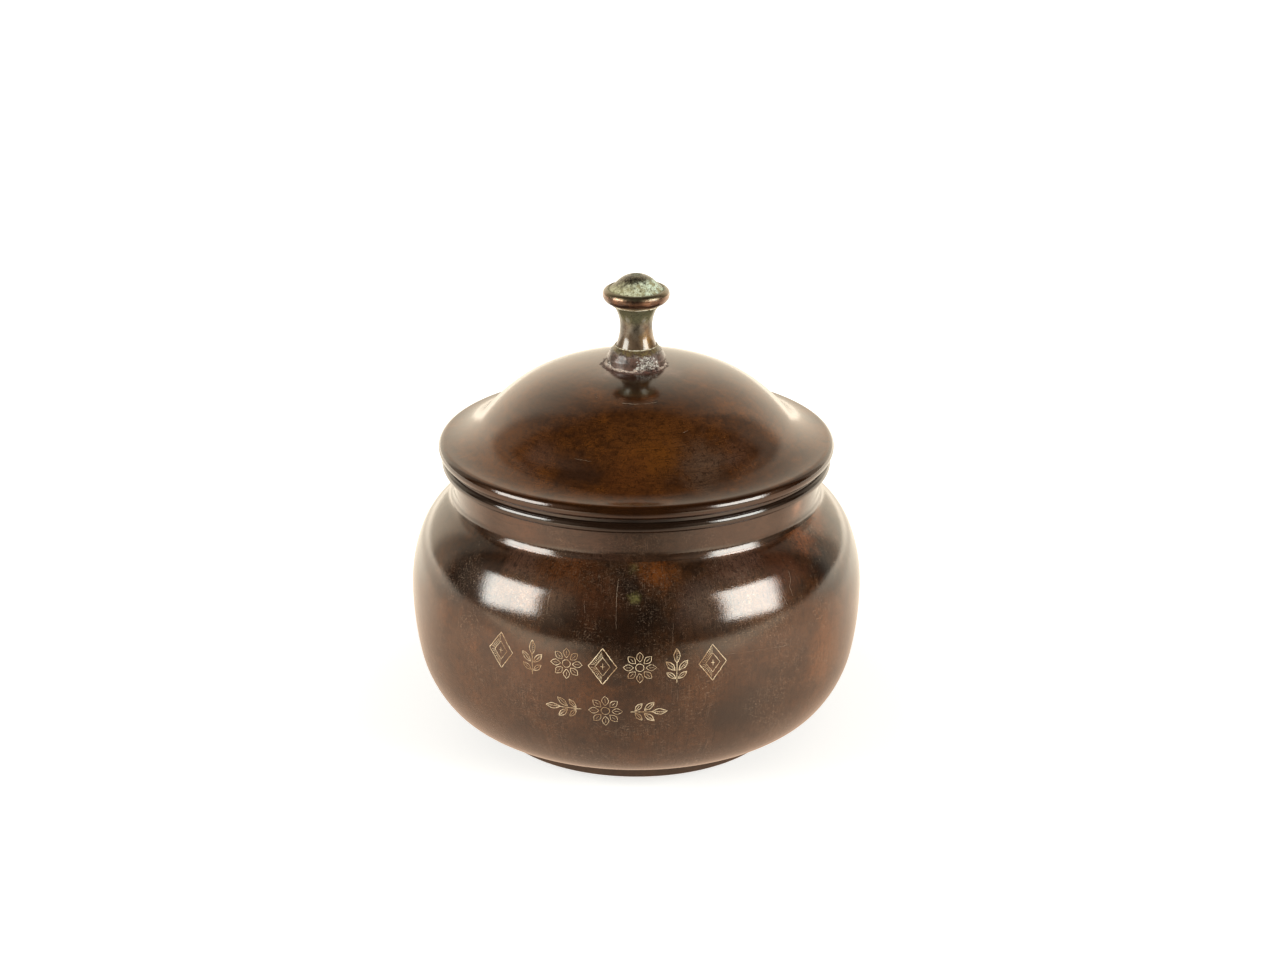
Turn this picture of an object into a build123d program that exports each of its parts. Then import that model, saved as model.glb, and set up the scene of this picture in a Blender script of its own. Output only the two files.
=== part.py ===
from build123d import *
import os

os.makedirs("parts", exist_ok=True)

# A squat jar of thin spun metal with a lift-off domed lid and a small turned knob.
# Millimetres, +Z up. Every piece is turned about the Z axis, and z = 0 is the plane
# that the foot stands on.

# ---------------------------------------------------------------- driving dimensions

# Sheet and rolled rims
sheet = 1.0                 # wall of the bowl, neck and lid
curl_angle = 285            # how far a rim is rolled round its wire, in degrees
wire_gap = 0.1              # between a wire and the roll that holds it

# Foot ring
foot_radius = 51.6
foot_height = 5.2
foot_wall = 1.5
foot_flange = 6.5           # width of the top flange that is soldered to the bowl
foot_round = 0.4            # rounding of the edge it stands on

# Bowl, its outer face
bottom_margin = 0.4         # how far the flat bottom runs past the foot ring
belly_radius = 79.9         # widest circle
belly_height = 54.0
flank_drop = 23.0           # where the flat side starts to turn under the belly
flank_inset = 2.3
haunch_drop = 39.0          # where the belly turns towards the flat bottom
haunch_inset = 9.5
shoulder_rise = 18.0        # where the side turns into the shoulder
shoulder_inset = 3.2
crease_rise = 33.8          # crease where the shoulder meets the neck
crease_overrun = 3.0        # wall past the crease before it is cut level

# Neck
neck_radius = 65.3          # outer face, just under the rim bead
neck_lean = 0.9             # how much narrower the neck is at the crease
neck_height = 11.9          # crease to the centre of the rim bead
neck_bead = 2.0             # tube radius of the rim bead

# Lid, its outer face; heights are above the centre of its edge bead
lid_overhang = 0.5          # centre of the lid's bead beyond the centre of the neck's
lid_bead = 2.6
flare_slope = 6             # how much the flare falls where it meets the bead, in degrees
flare_width = 12.8          # where the hollow flare turns into the dome
flare_rise = 9.3
dome_radius = 40.0          # a point on the side of the dome
dome_drop = 8.1
crown_radius = 24.0         # a point on the flat crown
crown_drop = 2.0
lid_rise = 29.5             # top of the dome

# Bezel inside the lid
bezel_clearance = 0.4       # between the skirt and the narrowest part of the neck
bezel_depth = 9.7           # skirt below the seat
seat_thickness = 1.0        # ledge that rests on the neck's rim
seat_margin = 0.2           # ledge beyond the centre of the lid's bead

# Knob, its outer faces; heights are above the top of the dome
flange_radius = 10.2
flange_side = 2.4           # height of the flange's upright side
flange_top_radius = 7.5
flange_top = 6.4
stem_foot_radius = 7.1
waist_radius = 5.6
waist_height = 13.6
stem_top_radius = 8.3
stem_top = 21.5
collet_radius = 8.7
collet_height = 0.5
rim_radius = 11.6           # widest circle of the cap
rim_rise = 3.1              # widest circle above the collet
groove_radius = 9.9         # where the cap's rim ends
groove_rise = 5.0
groove_depth = 0.35
groove_width = 0.4
cap_turn_radius = 6.6       # turn between the cap's slope and its top
cap_turn_rise = 7.8
cap_rise = 10.2
tip_radius = 0.8
tip_height = 0.4
knob_round = 0.2            # small roundings on the knob's edges

# Knob fixing
stud_radius = 2.0
stud_clearance = 0.1        # around the stud in every bore
stud_in_cap = 5.0
stud_tail = 1.5             # stud showing below the nut
washer_radius = 5.5
washer_height = 0.8
nut_flats = 7.0
nut_height = 3.2
nut_bevel_width = 1.0
nut_bevel_height = 0.5
stud_chamfer = 0.4
solder_bead = 0.8           # radius of the solder bead around the flange's foot

# ------------------------------------------------------------- sizes that follow

crease_height = belly_height + crease_rise
crease_radius = neck_radius - neck_lean
neck_rim = (neck_radius - sheet + neck_bead, crease_height + neck_height)
seat_height = neck_rim[1] + neck_bead
lid_edge = (neck_rim[0] + lid_overhang, seat_height + seat_thickness + lid_bead)
lid_top = lid_edge[1] + lid_rise
bezel_radius = crease_radius - sheet - bezel_clearance
flange_top_height = lid_top + flange_top
collet_base = lid_top + stem_top
cap_base = collet_base + collet_height
stud_bore = stud_radius + stud_clearance

# The washer's edge meets the dome's underside, which near the axis is as good as a ball.
crown_ball = (crown_radius**2 + crown_drop**2) / (2 * crown_drop) - sheet
washer_seat = lid_top - sheet - crown_ball + (crown_ball**2 - washer_radius**2) ** 0.5
nut_top = washer_seat - washer_height


def finish(piece, name):
    """Name a finished piece and write it."""
    piece.part.label = name
    export_step(piece.part, f"parts/{name}.step")


# --------------------------------------------------------------------------- foot

with BuildPart() as foot_ring:
    with BuildSketch(Plane.XZ):
        with Locations((foot_radius, 0)):
            Rectangle(foot_wall, foot_height, align=(Align.MAX, Align.MIN))
        with Locations((foot_radius, foot_height)):
            Rectangle(foot_flange, foot_wall, align=(Align.MAX, Align.MAX))
    revolve(axis=Axis.Z)
    fillet(foot_ring.edges().group_by(Axis.Z)[0], radius=foot_round)
finish(foot_ring, "foot_ring")

# --------------------------------------------------------------------------- bowl
# The outer face is five arcs, upright at the widest circle. The wall runs a little
# past the crease and is cut level there, so that the neck stands on a flat edge.

with BuildPart() as bowl:
    with BuildSketch(Plane.XZ):
        with BuildLine():
            bottom_edge = (foot_radius + bottom_margin, foot_height)
            haunch = (belly_radius - haunch_inset, belly_height - haunch_drop)
            flank = (belly_radius - flank_inset, belly_height - flank_drop)
            widest = (belly_radius, belly_height)
            shoulder = (belly_radius - shoulder_inset, belly_height + shoulder_rise)
            crease = (crease_radius, crease_height)
            Line((0, foot_height), bottom_edge)
            side = TangentArc(widest, flank, tangent=(0, -1))
            turn = TangentArc(flank, haunch, tangent=side % 1)
            TangentArc(haunch, bottom_edge, tangent=turn % 1)
            upper_side = TangentArc(widest, shoulder, tangent=(0, 1))
            top = TangentArc(shoulder, crease, tangent=upper_side % 1)
            Line(crease, crease + (top % 1) * crease_overrun)
            offset(amount=sheet, side=Side.LEFT)
        make_face()
    revolve(axis=Axis.Z)
    split(bisect_by=Plane.XY.offset(crease_height), keep=Keep.BOTTOM)
finish(bowl, "bowl")

# --------------------------------------------------------------------------- neck

def rolled_edge(centre, bead, start_angle):
    """Section of a sheet rolled clockwise round a wire."""
    with BuildSketch() as section:
        with BuildLine():
            outside = CenterArc(centre, bead, start_angle, -curl_angle)
            inside = CenterArc(centre, bead - sheet, start_angle, -curl_angle)
            Line(outside @ 0, inside @ 0)
            Line(outside @ 1, inside @ 1)
        make_face()
    return section.sketch


neck_roll = rolled_edge(neck_rim, neck_bead, 180)

with BuildPart() as neck_collar:
    with BuildSketch(Plane.XZ):
        with BuildLine():
            Polyline(
                (crease_radius - sheet, crease_height),
                (crease_radius, crease_height),
                (neck_radius, neck_rim[1]),
                (neck_radius - sheet, neck_rim[1]),
                close=True,
            )
        make_face()
        add(neck_roll)
    revolve(axis=Axis.Z)
finish(neck_collar, "neck_collar")


def rim_wire(centre, bead):
    """The ring of wire that a rim bead is rolled round."""
    with BuildPart() as wire:
        with BuildSketch(Plane.XZ):
            with Locations(centre):
                Circle(bead - sheet - wire_gap)
        revolve(axis=Axis.Z)
    return wire


finish(rim_wire(neck_rim, neck_bead), "neck_wire")

# ---------------------------------------------------------------------------- lid


roll_circle = CenterArc(lid_edge, lid_bead, 90 - flare_slope, -curl_angle)
flare_turn = (lid_edge[0] - flare_width, lid_edge[1] + flare_rise)
flare_line = TangentArc(roll_circle @ 0, flare_turn, tangent=-(roll_circle % 0))
dome_points = [
    (0, lid_top),
    (crown_radius, lid_top - crown_drop),
    (dome_radius, lid_top - dome_drop),
    flare_turn,
]
dome_curve = Spline(*dome_points, tangents=[(1, 0), -(flare_line % 1)])


def dome_line(depth):
    """The lid's outer face, or one under it, from the top to the start of the rolled edge."""
    points = []
    for point in dome_points:
        along = dome_curve % dome_curve.param_at_point(point)
        points.append(Vector(point) + Vector(along.Y, -along.X) * depth)
    roll = CenterArc(lid_edge, lid_bead - depth, 90 - flare_slope, -curl_angle)
    with BuildLine() as line:
        dome = Spline(*points, tangents=[(1, 0), -(flare_line % 1)])
        TangentArc(points[-1], roll @ 0, tangent=dome % 1)
    return line.wire()


def space_under(face_line, floor):
    """The solid between the axis, a dome line and a level floor."""
    with BuildPart() as space:
        with BuildSketch(Plane.XZ):
            with BuildLine():
                add(face_line)
                edge = face_line @ 1
                wall = edge.X + lid_bead
                Polyline(edge, (wall, edge.Y), (wall, floor), (0, floor), face_line @ 0)
            make_face()
        revolve(axis=Axis.Z)
    return space.part


lid_face = dome_line(0)
lid_underside = dome_line(sheet)
under_lid_face = space_under(lid_face, lid_edge[1])
lid_hollow = space_under(lid_underside, seat_height - bezel_depth)
lid_roll = rolled_edge(lid_edge, lid_bead, 90 - flare_slope)

with BuildPart() as lid_shell:
    with BuildSketch(Plane.XZ):
        with BuildLine():
            add(lid_face)
            add(lid_underside)
            Line(lid_face @ 0, lid_underside @ 0)
            Line(lid_face @ 1, lid_underside @ 1)
        make_face()
        add(lid_roll)
        Rectangle(stud_bore, lid_top + sheet, align=Align.MIN, mode=Mode.SUBTRACT)
    revolve(axis=Axis.Z)
finish(lid_shell, "lid_shell")

finish(rim_wire(lid_edge, lid_bead), "lid_wire")

# The bezel is an upright skirt with a ledge round it. The skirt drops into the neck,
# the ledge rests on the neck's rim, and the skirt's top meets the dome from inside.

with BuildPart() as lid_bezel:
    with BuildSketch(Plane.XZ):
        with Locations((bezel_radius, seat_height - bezel_depth)):
            Rectangle(sheet, lid_top - seat_height + bezel_depth, align=(Align.MAX, Align.MIN))
        with Locations((bezel_radius, seat_height)):
            ledge = lid_edge[0] + seat_margin - bezel_radius
            Rectangle(ledge, seat_thickness, align=(Align.MIN, Align.MIN))
    revolve(axis=Axis.Z)
    add(lid_hollow, mode=Mode.INTERSECT)
finish(lid_bezel, "lid_bezel")

# --------------------------------------------------------------------------- knob
# A bell-shaped flange, a waisted stem, a thin collet and a domed cap, stacked on a stud.

with BuildPart() as knob_flange:
    with BuildSketch(Plane.XZ):
        with BuildLine():
            base = lid_top - crown_drop
            side_top = (flange_radius, lid_top + flange_side)
            Polyline((stud_bore, base), (flange_radius, base), side_top)
            bell = TangentArc(side_top, (flange_top_radius, flange_top_height), tangent=(0, 1))
            Polyline(bell @ 1, (stud_bore, flange_top_height), (stud_bore, base))
        make_face()
    revolve(axis=Axis.Z)
    add(under_lid_face, mode=Mode.SUBTRACT)
finish(knob_flange, "knob_flange")

with BuildPart() as knob_stem:
    with BuildSketch(Plane.XZ):
        with BuildLine():
            waist = (waist_radius, lid_top + waist_height)
            foot = TangentArc(waist, (stem_foot_radius, flange_top_height), tangent=(0, -1))
            head = TangentArc(waist, (stem_top_radius, collet_base), tangent=(0, 1))
            Polyline(foot @ 1, (stud_bore, flange_top_height), (stud_bore, collet_base), head @ 1)
        make_face()
    revolve(axis=Axis.Z)
finish(knob_stem, "knob_stem")

with BuildPart() as knob_collet:
    with BuildSketch(Plane.XY.offset(collet_base)):
        Circle(collet_radius)
        Circle(stud_bore, mode=Mode.SUBTRACT)
    extrude(amount=collet_height)
    fillet(knob_collet.edges().filter_by(GeomType.CIRCLE).group_by(SortBy.LENGTH)[-1], radius=knob_round)
finish(knob_collet, "knob_collet")

with BuildPart() as knob_cap:
    with BuildSketch(Plane.XZ):
        with BuildLine():
            rim = (rim_radius, cap_base + rim_rise)
            groove_lip = (groove_radius, cap_base + groove_rise)
            groove = (groove_radius - groove_width, cap_base + groove_rise - groove_depth)
            turn = (cap_turn_radius, cap_base + cap_turn_rise)
            socket_top = cap_base + stud_in_cap
            Line((stud_bore, cap_base), (collet_radius, cap_base))
            TangentArc((collet_radius, cap_base), rim, tangent=(1, 0))
            TangentArc(rim, groove_lip, tangent=(0, 1))
            Line(groove_lip, groove)
            cap_top = TangentArc((0, cap_base + cap_rise), turn, tangent=(1, 0))
            TangentArc(turn, groove, tangent=cap_top % 1)
            Polyline(cap_top @ 0, (0, socket_top), (stud_bore, socket_top), (stud_bore, cap_base))
        make_face()
    revolve(axis=Axis.Z)
    with Locations((0, 0, cap_base + cap_rise + tip_height - tip_radius)):
        Sphere(tip_radius)
finish(knob_cap, "knob_cap")

# ------------------------------------------------------------------- knob's fixing

nut_base = nut_top - nut_height

with BuildPart() as knob_stud:
    with BuildSketch(Plane.XY.offset(nut_base - stud_tail)):
        Circle(stud_radius)
    extrude(amount=cap_base + stud_in_cap - nut_base + stud_tail)
    chamfer(knob_stud.edges().filter_by(GeomType.CIRCLE), length=stud_chamfer)
finish(knob_stud, "knob_stud")

with BuildPart() as knob_washer:
    with BuildSketch(Plane.XY.offset(nut_top)):
        Circle(washer_radius)
        Circle(stud_bore, mode=Mode.SUBTRACT)
    extrude(amount=washer_height)
finish(knob_washer, "knob_washer")

with BuildPart() as knob_nut:
    with BuildSketch(Plane.XY.offset(nut_base)):
        RegularPolygon(radius=nut_flats / 2, side_count=6, major_radius=False)
        Circle(stud_bore, mode=Mode.SUBTRACT)
    extrude(amount=nut_height)
    with BuildSketch(Plane.XZ):
        with BuildLine():
            bevel_radius = nut_flats / 2 + nut_bevel_width
            Polyline(
                (0, nut_base),
                (nut_flats / 2, nut_base),
                (bevel_radius, nut_base + nut_bevel_height),
                (bevel_radius, nut_top),
                (0, nut_top),
                close=True,
            )
        make_face()
    revolve(axis=Axis.Z, mode=Mode.INTERSECT)
finish(knob_nut, "knob_nut")

with BuildPart() as knob_solder:
    with BuildSketch(Plane.XZ):
        with Locations((flange_radius, lid_top)):
            Circle(solder_bead)
            Rectangle(flange_radius, flange_radius, align=(Align.MAX, Align.CENTER), mode=Mode.SUBTRACT)
    revolve(axis=Axis.Z)
    add(under_lid_face, mode=Mode.SUBTRACT)
finish(knob_solder, "knob_solder")
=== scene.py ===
import math
import random

import bpy
import numpy as np
from mathutils import Matrix, Quaternion, Vector, noise


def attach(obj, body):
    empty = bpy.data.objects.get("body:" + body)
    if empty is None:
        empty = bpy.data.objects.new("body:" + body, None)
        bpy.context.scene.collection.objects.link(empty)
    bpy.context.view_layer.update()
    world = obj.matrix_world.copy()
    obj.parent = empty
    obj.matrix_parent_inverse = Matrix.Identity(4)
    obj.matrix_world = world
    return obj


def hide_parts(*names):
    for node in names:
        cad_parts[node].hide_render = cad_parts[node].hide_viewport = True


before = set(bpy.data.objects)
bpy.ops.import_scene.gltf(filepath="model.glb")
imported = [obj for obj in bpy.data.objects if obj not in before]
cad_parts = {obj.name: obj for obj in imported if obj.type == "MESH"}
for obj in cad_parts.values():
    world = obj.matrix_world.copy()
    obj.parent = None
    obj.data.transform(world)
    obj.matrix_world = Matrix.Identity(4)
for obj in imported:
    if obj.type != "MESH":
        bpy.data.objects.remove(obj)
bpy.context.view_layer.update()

# A squat jar of dark patinated metal with a domed lid and a turned knob. The outer pieces are
# finely turned meshes made here, in millimetres, from sections that follow the CAD solids' own.
# The wires, the bezel and the knob's stud, washer and nut stay CAD nodes with better materials.

MM = 0.001
JAR = "jar"
LID = "lid"

# ---- sections, in millimetres ----

SHEET = 1.0
CURL = math.radians(285)  # how far a rim is rolled round its wire

FOOT_RADIUS, FOOT_HEIGHT, FOOT_WALL, FOOT_FLANGE = 51.6, 5.2, 1.5, 6.5

WIDEST = (79.9, 54.0)
FLANK = (77.6, 31.0)
HAUNCH = (70.4, 15.0)
BOTTOM_EDGE = (52.0, FOOT_HEIGHT)
SHOULDER = (76.7, 72.0)
COVE_FOOT = (66.95, 84.9)  # where the shoulder starts to turn up into the neck
CREASE = (65.18, 86.9)

NECK_RIM, NECK_BEAD = (66.3, 99.7), 2.0
COVE_TOP = (64.43, 89.9)
NECK_TOP_RADIUS = 65.3

LID_EDGE, LID_BEAD = (66.8, 105.3), 2.6
FLARE_SLOPE = math.radians(6)
FLARE_TURN = (54.0, 114.6)
DOME_SIDE = (40.0, 126.7)
CROWN = (24.0, 132.8)
LID_TOP = 134.8

# Single heights of the knob are above the top of the lid, and its points are in full
FLANGE_RADIUS, FLANGE_SIDE = 10.2, 2.4
FLANGE_TOP_RADIUS, FLANGE_TOP = 7.5, 6.4
FLANGE_CHEST = (8.9, LID_TOP + 4.9)
FLANGE_SINK = 0.5  # the flange's foot below the top of the dome
STEM_FOOT_RADIUS = 7.1
WAIST_RADIUS, WAIST_HEIGHT = 5.6, 13.6
STEM_TOP_RADIUS, STEM_TOP = 8.3, 21.5
COLLET_RADIUS, COLLET_HEIGHT = 8.7, 0.5
CAP_BASE = LID_TOP + STEM_TOP + COLLET_HEIGHT
CAP_RIM = (11.6, CAP_BASE + 3.1)
GROOVE_LIP = (9.9, CAP_BASE + 5.0)
GROOVE = (9.5, CAP_BASE + 4.65)
CAP_TURN = (6.2, CAP_BASE + 7.7)
CAP_TOP = (0.0, CAP_BASE + 9.7)
TIP_RADIUS, TIP_HEIGHT, TIP_TURN = 1.0, 0.5, math.radians(48)
SOCKET_TOP = CAP_BASE + 5.0
STUD_BORE = 2.1


# ---- outlines ----

class Outline:
    """A line in the plane of radius and height, built run by run, in millimetres."""

    def __init__(self, start, heading=(1, 0), step=0.7):
        self.points = [Vector(start)]
        self.heading = Vector(heading).normalized()
        self.step = step

    def line(self, *ends):
        """Straight runs to each end in turn."""
        for end in ends:
            start, end = self.points[-1], Vector(end)
            count = max(1, math.ceil((end - start).length / self.step))
            self.points += [start.lerp(end, i / count) for i in range(1, count + 1)]
            self.heading = (end - start).normalized()
        return self

    def arc(self, end):
        """A round run that leaves along the heading and arrives at the end."""
        start, end = self.points[-1], Vector(end)
        across = Vector((-self.heading.y, self.heading.x))
        chord = end - start
        centre = start + across * chord.length_squared / (2 * chord.dot(across))
        along = chord.normalized()
        turn = 2 * self.heading.angle_signed(along)
        self.heading = (2 * self.heading.dot(along) * along - self.heading).normalized()
        return self.swing(centre, -turn)

    def swing(self, centre, turn):
        """A round run about a centre. A turn above zero is anticlockwise."""
        spoke = self.points[-1] - Vector(centre)
        count = max(2, math.ceil(abs(turn) * spoke.length / self.step))
        for i in range(1, count + 1):
            angle = turn * i / count
            cos, sin = math.cos(angle), math.sin(angle)
            self.points.append(
                Vector(centre) + Vector((spoke.x * cos - spoke.y * sin, spoke.x * sin + spoke.y * cos))
            )
        return self

    def smooth(self, inner, end, end_heading):
        """A spline from the last point through the inner points to the end."""
        knots = np.array([self.points[-1], *inner, end], float)
        spans = np.linalg.norm(np.diff(knots, axis=0), axis=1)
        system, known = np.eye(len(knots)), np.zeros(knots.shape)
        known[0], known[-1] = self.heading, Vector(end_heading).normalized()
        for i in range(1, len(knots) - 1):
            before, after = spans[i - 1], spans[i]
            system[i, i - 1:i + 2] = after, 2 * (before + after), before
            known[i] = 3 * (
                after / before * (knots[i] - knots[i - 1]) + before / after * (knots[i + 1] - knots[i])
            )
        slopes = np.linalg.solve(system, known)
        for i, span in enumerate(spans):
            count = math.ceil(span / self.step)
            for t in np.arange(1, count + 1) / count:
                point = (
                    (2 * t**3 - 3 * t**2 + 1) * knots[i] + (3 * t**2 - 2 * t**3) * knots[i + 1]
                    + span * ((t**3 - 2 * t**2 + t) * slopes[i] + (t**3 - t**2) * slopes[i + 1])
                )
                self.points.append(Vector(point))
        self.heading = Vector(end_heading).normalized()
        return self


def inset(points, amount):
    """The points moved square to their line, to its left for an amount above zero."""
    moved = []
    for i, point in enumerate(points):
        along = points[min(i + 1, len(points) - 1)] - points[max(i - 1, 0)]
        along.normalize()
        moved.append(point + Vector((-along.y, along.x)) * amount)
    return moved


def coarse(points, every=4):
    """Every few points of a line, with its last one."""
    return points[:-1:every] + points[-1:]


def shoulder_outline():
    """The outer face of the bowl, from the widest circle to the crease."""
    return Outline(WIDEST, heading=(0, 1)).arc(SHOULDER).arc(COVE_FOOT).arc(CREASE)


def belly_outline():
    """The outer face of the bowl, from the axis at the bottom to the crease."""
    lower = Outline(WIDEST, heading=(0, -1)).arc(FLANK).arc(HAUNCH).arc(BOTTOM_EDGE)
    floor = Outline((0, FOOT_HEIGHT), step=4).line(BOTTOM_EDGE)
    return floor.points[:-1] + lower.points[::-1] + shoulder_outline().points[1:]


def lid_outline():
    """The outer face of the lid, from its bore to the start of the rolled edge."""
    edge = Vector(LID_EDGE) + LID_BEAD * Vector((math.sin(FLARE_SLOPE), math.cos(FLARE_SLOPE)))
    flare = Outline(edge, heading=(-math.cos(FLARE_SLOPE), math.sin(FLARE_SLOPE))).arc(FLARE_TURN)
    dome = Outline((0, LID_TOP), heading=(1, 0)).smooth([CROWN, DOME_SIDE], FLARE_TURN, -flare.heading)
    return [p for p in dome.points + flare.points[-2::-1] if p.x > STUD_BORE]


# ---- turned meshes ----

ON_AXIS = 1e-6  # a smaller radius is a point on the axis


def add_mesh(name, vertices, faces, materials, slots=None, sharp=30):
    """A mesh object with smooth faces and sharp edges where it turns by more than an angle."""
    mesh = bpy.data.meshes.new(name)
    mesh.from_pydata(vertices, [], faces)
    mesh.shade_smooth()
    if slots:
        mesh.polygons.foreach_set("material_index", slots)
    mesh.set_sharp_from_angle(angle=math.radians(sharp))
    for material in materials:
        mesh.materials.append(material)
    mesh.update()
    piece = bpy.data.objects.new(name, mesh)
    bpy.context.scene.collection.objects.link(piece)
    return piece


def turn(name, section, materials, segments, relief=None, outer=None, rounding=0.0):
    """A solid turned about Z from a closed section. The section runs anticlockwise.

    Relief gives how far a point of the surface lies under the true section, in millimetres.
    Outer is the range of points that have the relief and the first material, and the others
    have the second. Without it, every point is an outer one.
    """
    rings, vertices, faces, slots = [], [], [], []
    count = len(section)
    outer = outer or range(count)
    for i, point in enumerate(section):
        along = section[(i + 1) % count] - section[i - 1]
        outward = Vector((along.y, -along.x)).normalized()
        if abs(point.x) < ON_AXIS:
            rings.append([len(vertices)] * segments)
            vertices.append(Vector((0, 0, point.y)) * MM)
            continue
        rings.append(list(range(len(vertices), len(vertices) + segments)))
        for k in range(segments):
            angle = math.tau * k / segments
            cos, sin = math.cos(angle), math.sin(angle)
            corner = Vector((point.x * cos, point.x * sin, point.y))
            if relief and i in outer:
                corner -= Vector((outward.x * cos, outward.x * sin, outward.y)) * relief(corner)
            vertices.append(corner * MM)
    for i in range(count):
        here, there = rings[i], rings[(i + 1) % count]
        for k in range(segments):
            corners = [here[k], here[(k + 1) % segments], there[(k + 1) % segments], there[k]]
            corners = list(dict.fromkeys(corners))
            if len(corners) > 2:
                faces.append(corners)
                slots.append(0 if i in outer else 1)
    piece = add_mesh(name, vertices, faces, materials, slots)
    if rounding:
        bevel = piece.modifiers.new("rounded_edges", "BEVEL")
        bevel.width = rounding * MM
        bevel.segments = 3
        bevel.limit_method = "ANGLE"
        bevel.angle_limit = math.radians(30)
    return piece


def place(piece, body, slot, *nodes):
    """Hangs a piece on its body, in the place of the CAD nodes it stands for."""
    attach(piece, body)
    if nodes:
        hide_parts(*nodes)
    return piece


def turned_piece(node, section, materials, body, slot, segments=160, **settings):
    """A turned mesh in the place of one CAD node."""
    made = turn(node + "_visual", section, materials, segments, **settings)
    return place(made, body, slot, node)


def swell(depth, length, seed):
    """Relief of a hand-finished surface: soft hollows of a given depth and length, in millimetres."""
    offset = Vector((seed, 2 * seed, 3 * seed))

    def relief(point):
        soft = noise.noise(point / length + offset)
        fine = noise.noise(point / length * 3.1 - offset)
        return depth * (0.5 + 0.4 * soft + 0.1 * fine)

    return relief


BOWL_SWELL = swell(0.09, 34, 1.7)
LID_SWELL = swell(0.10, 30, 8.3)


class Skin:
    """A turned outer face, for laying fine marks on it by angle and distance along it."""

    REACH = 0.5  # how far behind and ahead of a point its slope is taken

    def __init__(self, points, relief):
        self.points = np.array(points, float)
        spans = np.linalg.norm(np.diff(self.points, axis=0), axis=1)
        self.along = np.concatenate([[0], np.cumsum(spans)])
        self.relief = relief

    def at_height(self, height):
        """Distance along the outline to a height, where heights grow along it."""
        return float(np.interp(height, self.points[:, 1], self.along))

    def at_radius(self, radius):
        """Distance along the outline to a radius, where radii grow along it."""
        return float(np.interp(radius, self.points[:, 0], self.along))

    def at(self, along):
        """Radius and height at a distance along the outline."""
        return [float(np.interp(along, self.along, self.points[:, k])) for k in (0, 1)]

    def spot(self, angle, along, lift):
        """A point and its outward normal, in millimetres. The angle runs from the front to +X."""
        radius, height = self.at(along)
        slope = (Vector(self.at(along + self.REACH)) - Vector(self.at(along - self.REACH))).normalized()
        sin, cos = math.sin(angle), math.cos(angle)
        normal = Vector((slope.y * sin, -slope.y * cos, -slope.x))
        point = Vector((radius * sin, -radius * cos, height))
        return point + normal * (lift - self.relief(point)), normal


class Marks:
    """Fine raised lines laid on a skin, gathered into one mesh."""

    SIDES = 6
    SINK = -0.25  # lift of a line's middle, as a share of its width
    TIP = 0.35  # width of a line's two ends, as a share of its width
    UNEVEN = (0.75, 1.2)  # least and greatest width on the way, as shares of it

    def __init__(self, skin, seed):
        self.skin = skin
        self.random = random.Random(seed)
        self.vertices, self.faces = [], []

    def stroke(self, points, width, centre, spacing=0.45, shake=0.04, closed=False):
        """A hand-cut line through points across and along, in millimetres from a centre.

        The centre is an angle and a distance along the skin.
        """
        angle, along = centre
        path = [Vector(p) for p in points]
        if closed:
            path.append(path[0])
        spread = []
        for start, end in zip(path, path[1:]):
            count = max(1, round((end - start).length / spacing))
            spread += [start.lerp(end, i / count) for i in range(count)]
        spread.append(path[-1])
        rings = []
        for i, point in enumerate(spread):
            here = point + Vector((self.random.gauss(0, shake), self.random.gauss(0, shake)))
            turned = angle + here.x / self.skin.at(along)[0]
            spot, normal = self.skin.spot(turned, along + here.y, lift=self.SINK * width)
            ahead = spread[min(i + 1, len(spread) - 1)] - spread[max(i - 1, 0)]
            east = Vector((0, 0, 1)).cross(spot).normalized()
            run = (east * ahead.x + normal.cross(east) * ahead.y).normalized()
            side = normal.cross(run).normalized()
            ends = self.TIP if i in (0, len(spread) - 1) and not closed else 1.0
            half = 0.5 * width * ends * self.random.uniform(*self.UNEVEN)
            rings.append(len(self.vertices))
            for k in range(self.SIDES):
                spoke = math.tau * k / self.SIDES
                outward = side * math.cos(spoke) + normal * math.sin(spoke)
                self.vertices.append((spot + half * outward) * MM)
        for low, high in zip(rings, rings[1:]):
            for k in range(self.SIDES):
                after = (k + 1) % self.SIDES
                self.faces.append((low + k, low + after, high + after, high + k))
        for ring, order in ((rings[0], -1), (rings[-1], 1)):
            self.faces.append(tuple(range(ring, ring + self.SIDES))[::order])

    def piece(self, name, material, body, slot):
        """All the lines as one piece on a body."""
        made = add_mesh(name, self.vertices, self.faces, [material], sharp=80)
        return place(made, body, slot)


# ---- materials ----

# A patch of patina in units of its size: how fine and how deep its ragged edge is, and its end
SPOT_NOISE, SPOT_RAGGED, SPOT_END = 1.4, 2.2, 1.15
LEAST_RADIUS = 1e-4  # in metres, keeps the axis from a division by zero


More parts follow.
